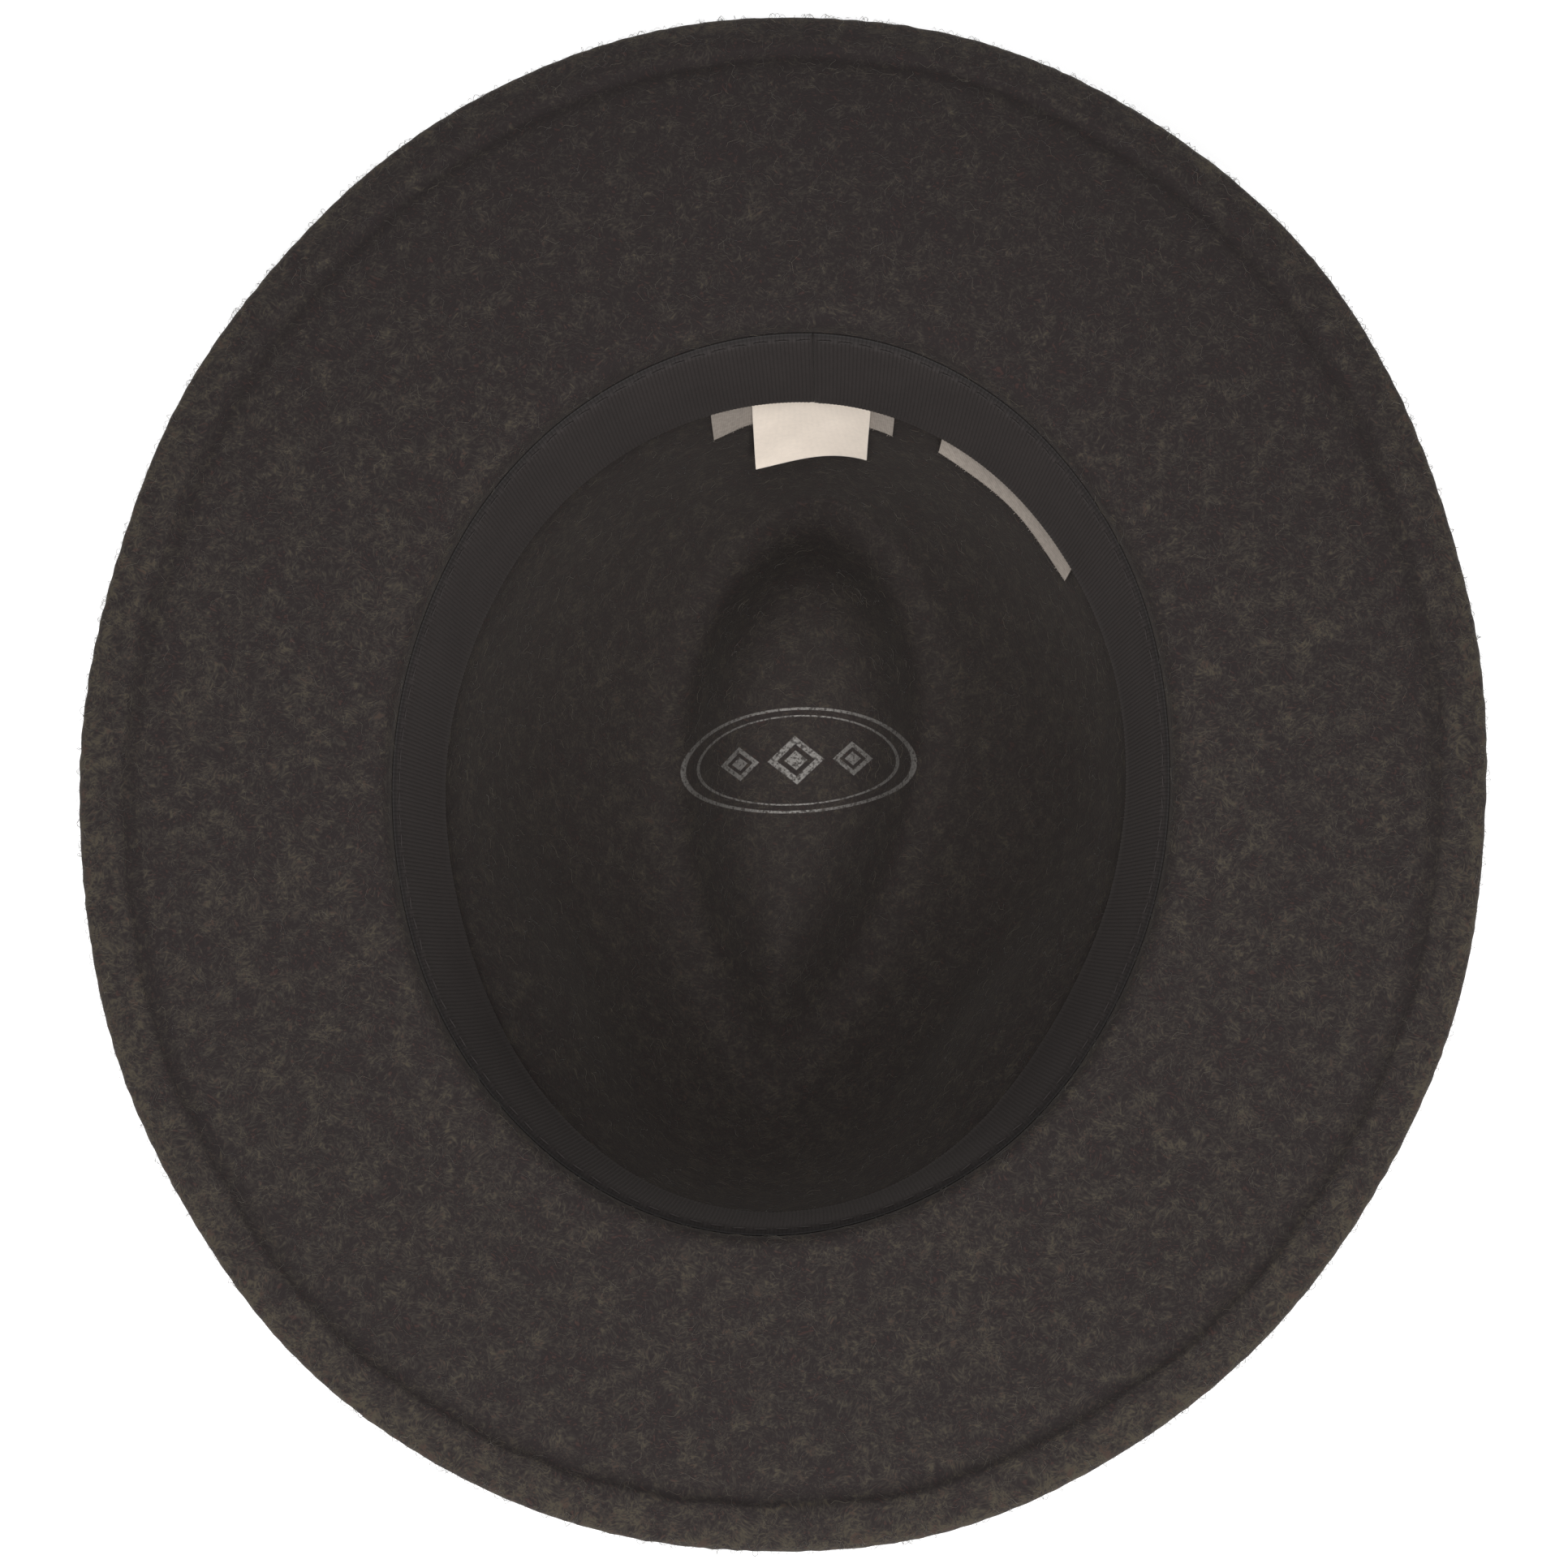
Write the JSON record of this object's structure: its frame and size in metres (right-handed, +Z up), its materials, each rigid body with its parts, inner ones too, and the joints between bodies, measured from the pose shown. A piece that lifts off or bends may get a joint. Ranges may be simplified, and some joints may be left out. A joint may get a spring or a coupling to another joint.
{
  "type": "felt hat",
  "caption": "Wool felt hat with a teardrop crown and a level welted brim, lying on its crown with the ribbon sweatband and bare labels showing inside.",
  "frame": {"origin": "on the surface that the crown rests on, under the middle of the brim's outline", "axes": "+X across the hat, +Y towards its back, +Z up out of the head opening, so the hat lies upside down"},
  "size_m": [0.298, 0.333, 0.1094],
  "materials": {
    "wool_felt": "heathered charcoal wool felt, matt and slightly hairy",
    "ribbon": "black ribbed ribbon, faintly silky",
    "white_label": "smooth off-white woven label, bare",
    "grey_label": "grey woven label, bare, frayed where it was cut"
  },
  "bodies": {
    "root": {"felt_crown_and_brim": "wool_felt", "ribbon_sweatband": "ribbon", "care_label": "white_label", "back_tape": "grey_label", "side_tape": "grey_label"}
  },
  "joints": []
}
